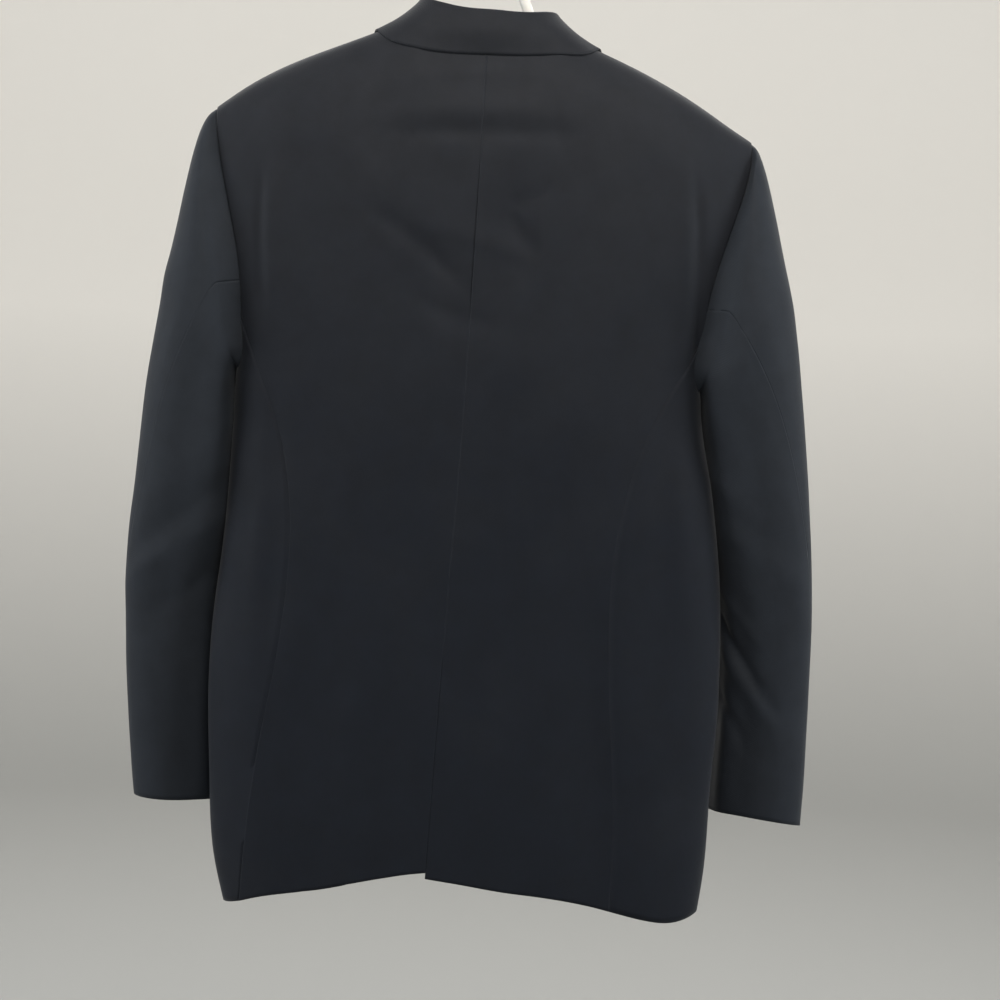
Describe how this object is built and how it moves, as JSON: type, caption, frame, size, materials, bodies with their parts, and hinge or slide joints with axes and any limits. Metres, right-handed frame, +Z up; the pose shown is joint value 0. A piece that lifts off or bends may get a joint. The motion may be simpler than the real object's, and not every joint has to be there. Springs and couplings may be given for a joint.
{
  "type": "suit jacket on a hanger",
  "caption": "Plain dark navy wool suit jacket with notch lapels, hanging buttoned on a plain white plastic hanger.",
  "frame": {"origin": "inside of the hook's crest, where a rail holds the hanger", "axes": "+Z up, +Y out of the jacket's back, +X towards the wearer's left"},
  "size_m": [0.6463, 0.154, 0.939],
  "materials": {
    "navy_wool": "matte worsted twill",
    "button_plastic": "satin",
    "hanger_plastic": "smooth"
  },
  "bodies": {
    "root": {"back_left": "navy_wool", "back_right": "navy_wool", "side_left": "navy_wool", "side_right": "navy_wool", "front_left": "navy_wool", "front_right": "navy_wool", "lapel_left": "navy_wool", "lapel_right": "navy_wool", "collar": "navy_wool", "top_sleeve_left": "navy_wool", "under_sleeve_left": "navy_wool", "top_sleeve_right": "navy_wool", "under_sleeve_right": "navy_wool", "flap_left": "navy_wool", "flap_right": "navy_wool", "breast_welt": "navy_wool", "button_upper": "button_plastic", "button_lower": "button_plastic", "cuff_button_left_1": "button_plastic", "cuff_button_left_2": "button_plastic", "cuff_button_left_3": "button_plastic", "cuff_button_right_1": "button_plastic", "cuff_button_right_2": "button_plastic", "cuff_button_right_3": "button_plastic", "hanger": "hanger_plastic"}
  },
  "joints": []
}
